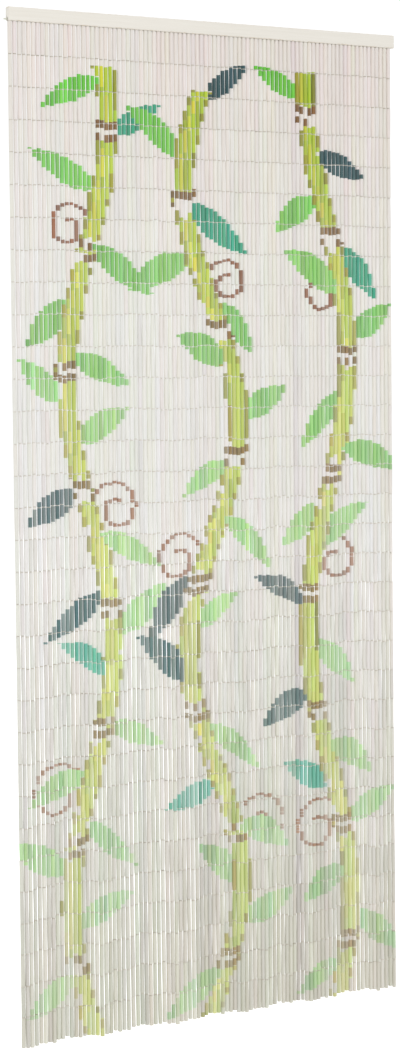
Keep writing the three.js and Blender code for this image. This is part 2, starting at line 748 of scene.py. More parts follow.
@dataclass(frozen=True)
class CaneTube:
    """A cut tube of thin bamboo: one unit long and one unit in radius, bored right through."""

    sides: int = 8
    bore: float = 0.56
    rim: float = 0.93
    shoulder: float = 0.4935
    between: float = 0.17
    shares: tuple[float, ...] = (0.02, 0.26, 0.26, 0.26, 0.02, 0.035, 0.1, 0.035)
    sharp: frozenset[int] = frozenset({0, 1, 4, 5, 6, 7})
    outer: tuple[float, ...] = (0.6, 1.0, 1.0, 1.0, 1.0, 0.6, 0.0, 0.0)

    def ring(self, radius: float, height: float) -> np.ndarray:
        """Gives the points of one ring.

        Args:
            radius: the ring's radius.
            height: its height.

        Returns:
            One row of x, y and z for each side.
        """
        turns = np.arange(self.sides) * 2 * math.pi / self.sides
        flat = np.stack([np.cos(turns), np.sin(turns)], axis=1) * radius
        return np.column_stack([flat, np.full(self.sides, height)])

    def mesh(self, shape: CaneShape) -> bpy.types.Mesh:
        """Makes the tube's mesh in one of its shapes.

        Args:
            shape: how the outside runs.

        Returns:
            The mesh.
        """
        foot, low, high, top = shape.value
        rings = (
            self.ring(foot * self.rim, -0.5),
            self.ring(foot, -self.shoulder),
            self.ring(low, -self.between),
            self.ring(high, self.between),
            self.ring(top, self.shoulder),
            self.ring(top * self.rim, 0.5),
            self.ring(self.bore, 0.5),
            self.ring(self.bore, -0.5),
        )
        strips = StripMesh(rings, self.shares, True, self.sharp, self.outer)
        return strips.build(f"cane_{shape.name.lower()}")


@dataclass(frozen=True)
class BentWire:
    """A bent wire that lies in one plane.

    Attributes:
        path: its centre line, in the plane's own two directions.
        plane: the two directions.
        diameter: the wire's thickness.
    """

    path: tuple[tuple[float, float], ...]
    plane: tuple[Vector, Vector]
    diameter: float
    sides: int = 4

    def mesh(self, name: str) -> bpy.types.Mesh:
        """Makes the wire's mesh.

        Args:
            name: the mesh's name.

        Returns:
            The mesh, with its faces outwards.
        """
        across, up = self.plane
        points = [across * a + up * b for a, b in self.path]
        through = across.cross(up)
        rings = []
        for index, point in enumerate(points):
            before = points[max(0, index - 1)]
            after = points[min(len(points) - 1, index + 1)]
            along = (after - before).normalized()
            aside = along.cross(through)
            turns = [2 * math.pi * (side + 0.5) / self.sides for side in range(self.sides)]
            ring = [
                point + (aside * math.cos(turn) - through * math.sin(turn)) * self.diameter / 2
                for turn in turns
            ]
            rings.append(np.array([list(place) for place in ring]))
        shares = tuple(1.0 for _ in range(len(points) - 1))
        mesh = StripMesh(tuple(rings), shares, closed=False).build(name)
        face_outwards(mesh)
        return mesh


def face_outwards(mesh: bpy.types.Mesh) -> None:
    """Turns a closed mesh's faces outwards if they point in.

    Args:
        mesh: the closed mesh.
    """
    shell = bmesh.new()
    shell.from_mesh(mesh)
    if shell.calc_volume(signed=True) < 0:
        bmesh.ops.reverse_faces(shell, faces=shell.faces)
        shell.to_mesh(mesh)
    shell.free()


# The tree that hangs a shape on every point


@dataclass
class Points:
    """The places where a shape repeats, and what each place carries.

    Attributes:
        place: the places.
        turn: the turn of the shape at each place, as Euler angles.
        size: the scale of the shape at each place.
        carried: further values by name, each with its type.
    """

    place: np.ndarray
    turn: np.ndarray
    size: np.ndarray
    carried: dict[str, tuple[str, np.ndarray]] = field(default_factory=dict)

    def mesh(self, name: str, grid: tuple[int, int]) -> bpy.types.Mesh:
        """Makes a mesh with one point for each place, and each one's cell in the bake map.

        Args:
            name: the mesh's name.
            grid: how many cells the bake map has across and up.

        Returns:
            The mesh of points.
        """
        mesh = bpy.data.meshes.new(name)
        mesh.from_pydata(self.place.tolist(), [], [])
        order = np.arange(len(self.place))
        columns, rows = grid
        cell = np.stack([order % columns / columns, order // columns / rows, order * 0.0], axis=1)
        set_values(mesh, "turn", "FLOAT_VECTOR", "POINT", self.turn)
        set_values(mesh, "size", "FLOAT_VECTOR", "POINT", self.size)
        set_values(mesh, "cell", "FLOAT_VECTOR", "POINT", cell)
        for key, (kind, values) in self.carried.items():
            set_values(mesh, key, kind, "POINT", values)
        return mesh


class HangingTree:
    """The Geometry Nodes tree that puts one of a few shapes on every point and joins the result."""

    scratch = ("turn", "size", "cell", "cell_uv", "shape")

    def __init__(self) -> None:
        """Builds the tree."""
        self.tree = bpy.data.node_groups.new("hang_shapes_on_points", "GeometryNodeTree")
        self.sockets: dict[str, str] = {}
        self.add_interface()
        self.add_nodes()

    def add_interface(self) -> None:
        """Makes the tree's inputs and its output."""
        face = self.tree.interface
        face.new_socket("Points", in_out="INPUT", socket_type="NodeSocketGeometry")
        for name, kind in (
            ("Shapes", "NodeSocketCollection"),
            ("Last Shape", "NodeSocketInt"),
            ("Seed", "NodeSocketInt"),
            ("Cell Size", "NodeSocketVector"),
            ("Finish", "NodeSocketMaterial"),
        ):
            socket = face.new_socket(name, in_out="INPUT", socket_type=kind)
            self.sockets[name] = socket.identifier
        face.new_socket("Mesh", in_out="OUTPUT", socket_type="NodeSocketGeometry")

    def node(self, kind: str, **settings: object) -> bpy.types.Node:
        """Adds a node with its settings.

        Args:
            kind: the node's type.
            settings: its properties, by name.

        Returns:
            The node.
        """
        node = self.tree.nodes.new(kind)
        for key, value in settings.items():
            setattr(node, key, value)
        return node

    def join(self, source: bpy.types.NodeSocket, target: bpy.types.NodeSocket) -> None:
        """Links two sockets."""
        self.tree.links.new(source, target)

    def named(self, name: str) -> bpy.types.NodeSocket:
        """Gives the values of a named vector attribute.

        Args:
            name: the attribute's name.

        Returns:
            The socket that gives its values.
        """
        node = self.node("GeometryNodeInputNamedAttribute", data_type="FLOAT_VECTOR")
        node.inputs["Name"].default_value = name
        return node.outputs["Attribute"]

    def vector_math(self, operation: str, *values: bpy.types.NodeSocket) -> bpy.types.NodeSocket:
        """Adds a sum on vectors.

        Args:
            operation: the sum, such as ADD.
            values: the sockets to work on.

        Returns:
            The socket with the result.
        """
        node = self.node("ShaderNodeVectorMath", operation=operation)
        for number, value in enumerate(values):
            self.join(value, node.inputs[number])
        return node.outputs["Vector"]

    def store(
        self, mesh: bpy.types.NodeSocket, name: str, kind: str, domain: str, value: bpy.types.NodeSocket
    ) -> bpy.types.NodeSocket:
        """Stores a named attribute and gives the geometry that has it.

        Args:
            mesh: the geometry.
            name: the attribute's name.
            kind: its type.
            domain: POINT, EDGE, FACE or CORNER.
            value: the socket with its values.

        Returns:
            The geometry's socket.
        """
        node = self.node("GeometryNodeStoreNamedAttribute", data_type=kind, domain=domain)
        node.inputs["Name"].default_value = name
        self.join(mesh, node.inputs["Geometry"])
        self.join(value, node.inputs["Value"])
        return node.outputs["Geometry"]

    def add_nodes(self) -> None:
        """Makes the nodes."""
        given = self.node("NodeGroupInput")
        shapes = self.node("GeometryNodeCollectionInfo", transform_space="ORIGINAL")
        shapes.inputs["Separate Children"].default_value = True
        shapes.inputs["Reset Children"].default_value = True
        self.join(given.outputs["Shapes"], shapes.inputs["Collection"])

        pick = self.node("FunctionNodeRandomValue", data_type="INT")
        whole = {socket.identifier: socket for socket in pick.inputs}
        whole["Min_002"].default_value = 0
        self.join(given.outputs["Last Shape"], whole["Max_002"])
        self.join(given.outputs["Seed"], pick.inputs["Seed"])

        turn = self.node("FunctionNodeEulerToRotation")
        self.join(self.named("turn"), turn.inputs["Euler"])

        hang = self.node("GeometryNodeInstanceOnPoints")
        hang.inputs["Pick Instance"].default_value = True
        self.join(given.outputs["Points"], hang.inputs["Points"])
        self.join(shapes.outputs["Instances"], hang.inputs["Instance"])
        self.join(pick.outputs[2], hang.inputs["Instance Index"])
        self.join(turn.outputs["Rotation"], hang.inputs["Rotation"])
        self.join(self.named("size"), hang.inputs["Scale"])

        real = self.node("GeometryNodeRealizeInstances")
        self.join(hang.outputs["Instances"], real.inputs["Geometry"])

        skin = self.vector_math("MULTIPLY", self.named("shape"), self.named("size"))
        mesh = self.store(real.outputs["Geometry"], "skin", "FLOAT_VECTOR", "POINT", skin)
        inside = self.vector_math("MULTIPLY", self.named("cell_uv"), given.outputs["Cell Size"])
        place = self.vector_math("ADD", self.named("cell"), inside)
        mesh = self.store(mesh, BAKE_UV, "FLOAT2", "CORNER", place)

        finish = self.node("GeometryNodeSetMaterial")
        self.join(mesh, finish.inputs["Geometry"])
        self.join(given.outputs["Finish"], finish.inputs["Material"])
        out = self.node("NodeGroupOutput")
        self.join(finish.outputs["Geometry"], out.inputs["Mesh"])

    def hang(
        self,
        name: str,
        points: Points,
        shapes: Sequence[bpy.types.Mesh],
        finish: bpy.types.Material,
        grid: tuple[int, int],
        seed: int,
    ) -> bpy.types.Object:
        """Hangs shapes on points and gives the plain mesh object.

        Args:
            name: the new piece's name.
            points: where the shapes go.
            shapes: the meshes to choose from.
            finish: the material.
            grid: how many cells the bake map has across and up.
            seed: the seed of the choice.

        Returns:
            The piece, with no modifier left on it.
        """
        shelf = bpy.data.collections.new(f"{name}_shapes")
        models = [bpy.data.objects.new(f"{name}_{mesh.name}", mesh) for mesh in shapes]
        for model in models:
            shelf.objects.link(model)
        piece = bpy.data.objects.new(name, points.mesh(name, grid))
        bpy.context.scene.collection.objects.link(piece)
        modifier = piece.modifiers.new("hang", "NODES")
        modifier.node_group = self.tree
        modifier[self.sockets["Shapes"]] = shelf
        modifier[self.sockets["Last Shape"]] = len(models) - 1
        modifier[self.sockets["Seed"]] = seed
        modifier[self.sockets["Cell Size"]] = (1 / grid[0], 1 / grid[1], 0.0)
        modifier[self.sockets["Finish"]] = finish
        graph = bpy.context.evaluated_depsgraph_get()
        mesh = bpy.data.meshes.new_from_object(
            piece.evaluated_get(graph), preserve_all_data_layers=True, depsgraph=graph
        )
        piece.modifiers.clear()
        piece.data = mesh
        mesh.name = name
        for key in self.scratch:
            if key in mesh.attributes:
                mesh.attributes.remove(mesh.attributes[key])
        for model in models:
            bpy.data.objects.remove(model)
        bpy.data.collections.remove(shelf)
        return piece


# Finishes


class Shader:
    """A material or shader group under construction."""

    def __init__(self, tree: bpy.types.NodeTree) -> None:
        """Takes the tree to build in."""
        self.tree = tree

    def node(self, kind: str, **settings: object) -> bpy.types.Node:
        """Adds a node with its settings.

        Args:
            kind: the node's type.
            settings: its properties, by name.

        Returns:
            The node.
        """
        node = self.tree.nodes.new(kind)
        for key, value in settings.items():
            setattr(node, key, value)
        return node

    def feed(self, target: bpy.types.NodeSocket, value: object) -> None:
        """Links a socket or sets its value.

        Args:
            target: the input socket.
            value: a socket to link, or a plain value.
        """
        if isinstance(value, bpy.types.NodeSocket):
            self.tree.links.new(value, target)
        else:
            target.default_value = value

    def sum(self, operation: str, *values: object) -> bpy.types.NodeSocket:
        """Adds a sum on numbers.

        Args:
            operation: the sum, such as ADD.
            values: sockets or numbers.

        Returns:
            The socket with the result.
        """
        node = self.node("ShaderNodeMath", operation=operation)
        for number, value in enumerate(values):
            self.feed(node.inputs[number], value)
        return node.outputs[0]

    def vector(self, operation: str, *values: object) -> bpy.types.NodeSocket:
        """Adds a sum on vectors.

        Args:
            operation: the sum, such as ADD.
            values: sockets or vectors.

        Returns:
            The socket with the result.
        """
        node = self.node("ShaderNodeVectorMath", operation=operation)
        for number, value in enumerate(values):
            self.feed(node.inputs[number], value)
        return node.outputs["Vector"]

    def ramp(
        self, value: object, low: object, high: object, start: float = 0.0, end: float = 1.0
    ) -> bpy.types.NodeSocket:
        """Turns a value between low and high smoothly into one between start and end.

        Args:
            value: the socket or number to turn.
            low: where it starts to change.
            high: where it has changed.
            start: the result up to low.
            end: the result from high on.

        Returns:
            The socket with the result.
        """
        node = self.node("ShaderNodeMapRange", interpolation_type="SMOOTHSTEP")
        keys = ("Value", "From Min", "From Max", "To Min", "To Max")
        for key, given in zip(keys, (value, low, high, start, end)):
            self.feed(node.inputs[key], given)
        return node.outputs["Result"]

    def mix(
        self, share: object, first: object, second: object, blend: str = "MIX"
    ) -> bpy.types.NodeSocket:
        """Mixes two colours.

        Args:
            share: how much of the second colour shows.
            first: the first colour.
            second: the second colour.
            blend: how the two are mixed.

        Returns:
            The socket with the result.
        """
        node = self.node("ShaderNodeMix", data_type="RGBA", blend_type=blend)
        slots = {socket.identifier: socket for socket in node.inputs}
        self.feed(slots["Factor_Float"], share)
        self.feed(slots["A_Color"], first)
        self.feed(slots["B_Color"], second)
        return next(socket for socket in node.outputs if socket.identifier == "Result_Color")

    def noise(
        self, place: object, scale: object, detail: float, roughness: float = 0.5
    ) -> bpy.types.NodeSocket:
        """Adds a noise and gives its value.

        Args:
            place: the socket with the place.
            scale: how fine the noise is.
            detail: how many finer layers it has.
            roughness: how strong those are.

        Returns:
            The socket with the result.
        """
        node = self.node("ShaderNodeTexNoise")
        given = (place, scale, detail, roughness)
        for key, value in zip(("Vector", "Scale", "Detail", "Roughness"), given):
            self.feed(node.inputs[key], value)
        return node.outputs["Fac"]

    def attribute(self, name: str, output: str = "Vector") -> bpy.types.NodeSocket:
        """Reads a named attribute of the piece."""
        return self.node("ShaderNodeAttribute", attribute_name=name).outputs[output]

    def group(self, group: bpy.types.NodeTree, **values: object) -> bpy.types.Node:
        """Places a shader group and feeds its inputs, whose names have spaces for underscores.

        Args:
            group: the shader group.
            values: sockets or plain values, by name.

        Returns:
            The node of the group.
        """
        node = self.node("ShaderNodeGroup", node_tree=group)
        for key, value in values.items():
            self.feed(node.inputs[key.replace("_", " ")], value)
        return node

    def emboss(
        self, principled: bpy.types.Node, height: object, strength: float, distance: float
    ) -> None:
        """Raises the surface by a height.

        Args:
            principled: the material's main shader.
            height: the height, from 0 to 1.
            strength: how strongly it shows.
            distance: how high 1 is, in metres.
        """
        bump = self.node("ShaderNodeBump")
        bump.inputs["Strength"].default_value = strength
        bump.inputs["Distance"].default_value = distance
        self.feed(bump.inputs["Height"], height)
        self.feed(principled.inputs["Normal"], bump.outputs["Normal"])


@dataclass
class SharedEffects:
    """The shader groups that more than one finish uses.

    Attributes:
        coarse: the scale, detail and roughness of the grain's slow blotches.
        streak: those of its streaks.
        hair: those of its finest lines.
        streak_share: how much of the grain is streaks, the rest being fine lines.
        streak_limits: the values between which a streak shows.
        blotch_limits: the values between which a blotch shows.
        wear_detail: how broken up the wear is.
        edge_pull: how strongly wear gathers at edges.
        wear_limits: the values between which wear sets in.
        fibre: the grain of long fibres.
        band: the mask of a painted stretch.
        wear: the mask of wear at edges.
    """

    coarse: tuple[float, float, float] = (0.35, 2.0, 0.5)
    streak: tuple[float, float, float] = (1.0, 4.0, 0.6)
    hair: tuple[float, float, float] = (3.1, 2.0, 0.5)
    streak_share: float = 0.65
    streak_limits: tuple[float, float] = (0.32, 0.68)
    blotch_limits: tuple[float, float] = (0.35, 0.65)
    wear_detail: float = 4.0
    edge_pull: float = 0.6
    wear_limits: tuple[float, float] = (0.98, 1.14)
    fibre: bpy.types.NodeTree = field(init=False)
    band: bpy.types.NodeTree = field(init=False)
    wear: bpy.types.NodeTree = field(init=False)

    def __post_init__(self) -> None:
        """Builds the groups."""
        self.fibre = self.build_fibre()
        self.band = self.build_band()
        self.wear = self.build_wear()

    @staticmethod
    def start(
        name: str, inputs: dict[str, str], outputs: dict[str, str]
    ) -> tuple[Shader, bpy.types.Node, bpy.types.Node]:
        """Starts a group with its inputs and outputs.

        Args:
            name: the group's name.
            inputs: the kind of each input, by name.
            outputs: the kind of each output, by name.

        Returns:
            The group's shader, its input node and its output node.
        """
        tree = bpy.data.node_groups.new(name, "ShaderNodeTree")
        for side, sockets in (("INPUT", inputs), ("OUTPUT", outputs)):
            for key, kind in sockets.items():
                tree.interface.new_socket(key, in_out=side, socket_type=f"NodeSocket{kind}")
        shader = Shader(tree)
        return shader, shader.node("NodeGroupInput"), shader.node("NodeGroupOutput")

    def build_fibre(self) -> bpy.types.NodeTree:
        """Makes the grain of long fibres, with finer streaks and slow blotches.

        Returns:
            The group.
        """
        shader, given, out = self.start(
            "fibre_grain",
            {"Place": "Vector", "Stretch": "Vector", "Fineness": "Float"},
            {"Streak": "Float", "Blotch": "Float", "Height": "Float"},
        )
        fine = shader.vector("MULTIPLY", given.outputs["Place"], given.outputs["Stretch"])
        node = shader.node("ShaderNodeVectorMath", operation="SCALE")
        shader.feed(node.inputs[0], fine)
        shader.feed(node.inputs["Scale"], given.outputs["Fineness"])
        place = node.outputs["Vector"]
        coarse = shader.noise(place, *self.coarse)
        streak = shader.sum("MULTIPLY", shader.noise(place, *self.streak), self.streak_share)
        hair = shader.sum("MULTIPLY", shader.noise(place, *self.hair), 1 - self.streak_share)
        both = shader.sum("ADD", streak, hair)
        shader.feed(out.inputs["Streak"], shader.ramp(both, *self.streak_limits))
        shader.feed(out.inputs["Blotch"], shader.ramp(coarse, *self.blotch_limits))
        shader.feed(out.inputs["Height"], both)
        return shader.tree

    def build_band(self) -> bpy.types.NodeTree:
        """Makes the mask of a painted stretch between two heights, with frayed ends.

        Returns:
            The group.
        """
        shader, given, out = self.start(
            "painted_band",
            dict.fromkeys(("Along", "Low", "High", "Fray", "Soft", "Amount"), "Float"),
            {"Mask": "Float"},
        )
        along = shader.sum("ADD", given.outputs["Along"], given.outputs["Fray"])
        soft = given.outputs["Soft"]
        low = given.outputs["Low"]
        high = given.outputs["High"]
        above = shader.ramp(along, shader.sum("SUBTRACT", low, soft), shader.sum("ADD", low, soft))
        upper = (shader.sum("SUBTRACT", high, soft), shader.sum("ADD", high, soft))
        below = shader.ramp(along, *upper, 1.0, 0.0)
        both = shader.sum("MULTIPLY", above, below)
        shader.feed(out.inputs["Mask"], shader.sum("MULTIPLY", both, given.outputs["Amount"]))
        return shader.tree

    def build_wear(self) -> bpy.types.NodeTree:
        """Makes the mask of wear, which gathers where the edge value is high and breaks up.

        Returns:
            The group.
        """
        shader, given, out = self.start(
            "edge_wear",
            {"Place": "Vector", "Edge": "Float", "Scale": "Float", "Amount": "Float"},
            {"Mask": "Float"},
        )
        patches = shader.noise(given.outputs["Place"], given.outputs["Scale"], self.wear_detail)
        edge = shader.sum("MULTIPLY", given.outputs["Edge"], self.edge_pull)
        mask = shader.ramp(shader.sum("ADD", edge, patches), *self.wear_limits)
        shader.feed(out.inputs["Mask"], shader.sum("MULTIPLY", mask, given.outputs["Amount"]))
        return shader.tree


def new_material(name: str) -> tuple[bpy.types.Material, Shader, bpy.types.Node]:
    """Makes a material and gives it with its shader and its Principled node.

    Args:
        name: the material's name.

    Returns:
        The material, its shader tree and its main shader.
    """
    material = bpy.data.materials.new(name)
    material.use_nodes = True
    shader = Shader(material.node_tree)
    return material, shader, material.node_tree.nodes["Principled BSDF"]


@dataclass(frozen=True)
class PaintedCaneFinish:
    """Washed bamboo with stretches of thin paint, bare cut ends whose darker tone is also painted shade
    at the joints, and a bore painted dark as shade.

    Attributes:
        bands: how many stretches of paint a tube can carry.
        fray: how uneven the ends of the paint are.
        seed_step: how far the grain moves along each axis with a tube's seed.
        least_cover: how much of the paint stays where it is thinnest.
        rim_limits: where a cut end turns into skin, as values of outer.
        bore_limit: up to which value of outer the bore reaches.
        bore_mouth_shade: how dark the bore's painted shade is at its mouth, from 0 to 1.
    """

    bands: int = 3
    cut_end: Colour = linear(212, 202, 180)
    # The end tone is the unpainted cane, darkened as painted shade at the joints.
    end_tone_and_joint_shade: Colour = linear(216, 212, 203)
    # The bore is painted dark as shade.
    bore: Colour = linear(146, 130, 108)
    bare_end: float = 1.0 * MM
    fray: float = 1.1 * MM
    soft: float = 0.25 * MM
    bare_roughness: float = 0.6
    paint_roughness: float = 0.44
    specular: float = 0.35
    bump: float = 0.35
    bump_height: float = 0.12 * MM
    seed_step: tuple[float, float, float] = (1.0, 1.7, 2.3)
    grain_stretch: tuple[float, float, float] = (1.0, 1.0, 0.035)
    grain_fineness: float = 900.0
    streak_share: float = 0.35
    streak_shade: Colour = (0.86, 0.84, 0.8)
    blotch_share: float = 0.35
    blotch_shade: Colour = (0.93, 0.92, 0.89)
    thin_share: float = 0.4
    thin_shade: Colour = (0.88, 0.9, 0.86)
    least_cover: float = 0.9
    rim_limits: tuple[float, float] = (0.6, 0.95)
    bore_limit: float = 0.2
    bore_shade_depth: float = 4 * MM
    bore_mouth_shade: float = 0.25
    roughness_spread: float = 0.1
    paint_height: float = 0.5

    def material(self, effects: SharedEffects) -> bpy.types.Material:
        """Makes the material from the tubes' own attributes.

        Args:
            effects: the shared shader groups.

        Returns:
            The material.
        """
        material, shader, principled = new_material("painted_cane")
        skin = shader.attribute("skin")
        seed = shader.attribute("seed", "Fac")
        tilt = shader.node("ShaderNodeCombineXYZ")
        for axis, factor in zip("XYZ", self.seed_step):
            shader.feed(tilt.inputs[axis], shader.sum("MULTIPLY", seed, factor))
        place = shader.vector("ADD", skin, tilt.outputs["Vector"])
        grain = shader.group(
            effects.fibre, Place=place, Stretch=self.grain_stretch, Fineness=self.grain_fineness
        )
        streak = grain.outputs["Streak"]
        blotch = grain.outputs["Blotch"]

        # The bare tone holds painted light and shade down the curtain.
        bare = shader.attribute("bare", "Color")
        share = shader.sum("MULTIPLY", streak, self.streak_share)
        dull = shader.mix(share, bare, opaque(self.streak_shade), "MULTIPLY")
        share = shader.sum("MULTIPLY", blotch, self.blotch_share)
        colour = shader.mix(share, dull, opaque(self.blotch_shade), "MULTIPLY")

        parts = shader.node("ShaderNodeSeparateXYZ")
        shader.feed(parts.inputs["Vector"], skin)
        along = parts.outputs["Z"]
        half = shader.attribute("half", "Fac")
        from_end = shader.sum("SUBTRACT", half, shader.sum("ABSOLUTE", along))
        fray = shader.sum("MULTIPLY", shader.sum("SUBTRACT", streak, 0.5), self.fray)
        clear = shader.ramp(shader.sum("ADD", from_end, fray), 0.0, self.bare_end)
        # Paint stops short of each end; the darker end tone there is also painted shade at the joints.
        colour = shader.mix(clear, opaque(self.end_tone_and_joint_shade), colour)
        cover = shader.sum("MULTIPLY", shader.ramp(streak, 0.0, 1.0, 1.0, self.least_cover), clear)
        share = shader.sum("MULTIPLY", blotch, self.thin_share)
        painted: object = 0.0
        for number in range(1, self.bands + 1):
            paint = shader.node("ShaderNodeAttribute", attribute_name=f"paint_{number}")
            reach = shader.node("ShaderNodeSeparateXYZ")
            shader.feed(reach.inputs["Vector"], shader.attribute(f"reach_{number}"))
            band = shader.group(
                effects.band,
                Along=along,
                Low=reach.outputs["X"],
                High=reach.outputs["Y"],
                Fray=fray,
                Soft=self.soft,
                Amount=shader.sum("MULTIPLY", reach.outputs["Z"], cover),
            )
            mask = band.outputs["Mask"]
            thin = shader.mix(share, paint.outputs["Color"], opaque(self.thin_shade), "MULTIPLY")
            colour = shader.mix(mask, colour, thin)
            painted = shader.sum("MAXIMUM", painted, mask)

        outer = shader.attribute("outer", "Fac")
        rim = shader.ramp(outer, *self.rim_limits, 1.0, 0.0)
        colour = shader.mix(rim, colour, opaque(self.cut_end))
        # The bore is painted dark as shade, darker deeper in.
        inner = shader.ramp(outer, 0.0, self.bore_limit, 1.0, 0.0)
        bore_shade = shader.ramp(from_end, 0.0, self.bore_shade_depth, self.bore_mouth_shade, 1.0)
        colour = shader.mix(shader.sum("MULTIPLY", inner, bore_shade), colour, opaque(self.bore))
        shader.feed(principled.inputs["Base Color"], colour)

        rough = shader.ramp(painted, 0.0, 1.0, self.bare_roughness, self.paint_roughness)
        rough = shader.sum("ADD", rough, shader.sum("MULTIPLY", streak, self.roughness_spread))
        shader.feed(principled.inputs["Roughness"], rough)
        principled.inputs["Specular IOR Level"].default_value = self.specular

        coat = shader.sum("MULTIPLY", painted, self.paint_height)
        height = shader.sum("ADD", grain.outputs["Height"], coat)
        shader.emboss(principled, height, self.bump, self.bump_height)
        return material


@dataclass(frozen=True)
class RailPaintFinish:
    """Thin off-white satin paint over a planed batten, rubbed along its edges."""

    paint: Colour = linear(241, 237, 228)
    shade: Colour = linear(232, 226, 216)
    wood: Colour = linear(196, 170, 130)
    roughness: float = 0.5
    specular: float = 0.4
    bump: float = 0.3
    bump_height: float = 0.2 * MM
    grain_stretch: tuple[float, float, float] = (0.02, 1.0, 1.0)
    grain_fineness: float = 420.0
    brush_share: float = 0.5
    blotch_share: float = 0.3
    blotch_shade: Colour = (0.95, 0.95, 0.93)
    wear_scale: float = 130.0
    wear_amount: float = 0.4
    brush_roughness: float = 0.12
    worn_roughness: float = 0.2
    worn_depth: float = 0.6

    def material(self, effects: SharedEffects) -> bpy.types.Material:
        """Makes the material from the batten's place and its edge values.

        Args:
            effects: the shared shader groups.

        Returns:
            The material.
        """
        material, shader, principled = new_material("rail_satin_paint")
        place = shader.node("ShaderNodeTexCoord").outputs["Object"]
        grain = shader.group(
            effects.fibre, Place=place, Stretch=self.grain_stretch, Fineness=self.grain_fineness
        )
        brush = grain.outputs["Streak"]
        share = shader.sum("MULTIPLY", brush, self.brush_share)
        colour = shader.mix(share, opaque(self.paint), opaque(self.shade))
        share = shader.sum("MULTIPLY", grain.outputs["Blotch"], self.blotch_share)
        colour = shader.mix(share, colour, opaque(self.blotch_shade), "MULTIPLY")
        edge = shader.attribute("edge", "Fac")
        wear = shader.group(
            effects.wear, Place=place, Edge=edge, Scale=self.wear_scale, Amount=self.wear_amount
        )
        worn = wear.outputs["Mask"]
        colour = shader.mix(worn, colour, opaque(self.wood))
        shader.feed(principled.inputs["Base Color"], colour)
        rough = shader.sum("ADD", self.roughness, shader.sum("MULTIPLY", brush, self.brush_roughness))
        rough = shader.sum("ADD", rough, shader.sum("MULTIPLY", worn, self.worn_roughness))
        shader.feed(principled.inputs["Roughness"], rough)
        principled.inputs["Specular IOR Level"].default_value = self.specular
        lost = shader.sum("MULTIPLY", worn, self.worn_depth)
        height = shader.sum("SUBTRACT", grain.outputs["Height"], lost)
        shader.emboss(principled, height, self.bump, self.bump_height)
        return material


@dataclass(frozen=True)
class DrawnWireFinish:
    """Zinc-plated steel wire that has dulled unevenly."""

    bright: Colour = linear(232, 234, 222)
    dull: Colour = linear(208, 209, 194)
    tarnish: Colour = linear(168, 164, 142)
    roughness: float = 0.42
    metallic: float = 0.85
    grain_fineness: float = 260.0
    wear_edge: float = 0.35
    wear_scale: float = 90.0
    wear_amount: float = 0.6

    def material(self, effects: SharedEffects) -> bpy.types.Material:
        """Makes the material.

        Args:
            effects: the shared shader groups.

        Returns:
            The material.
        """
        material, shader, principled = new_material("drawn_steel_wire")
        place = shader.node("ShaderNodeTexCoord").outputs["Object"]
        grain = shader.group(
            effects.fibre, Place=place, Stretch=(1.0, 1.0, 1.0), Fineness=self.grain_fineness
        )
        tarnish = shader.group(
            effects.wear,
            Place=place,
            Edge=self.wear_edge,
            Scale=self.wear_scale,
            Amount=self.wear_amount,
        )
        colour = shader.mix(grain.outputs["Streak"], opaque(self.bright), opaque(self.dull))
        colour = shader.mix(tarnish.outputs["Mask"], colour, opaque(self.tarnish))
        shader.feed(principled.inputs["Base Color"], colour)
        principled.inputs["Metallic"].default_value = self.metallic
        principled.inputs["Roughness"].default_value = self.roughness
        return material


# The pieces


def settle(piece: bpy.types.Object, slot: str, *nodes: str) -> None:
    """Makes a piece ride on the curtain, hides the nodes that it stands for and logs its triangles.

    Args:
        piece: the piece.
        slot: not used.
        nodes: the nodes that it stands for.
    """
    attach(piece, BODY)
    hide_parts(*nodes)
    triangles = sum(len(face.vertices) - 2 for face in piece.data.polygons)
    LOG.info("%s: %d triangles", piece.name, triangles)


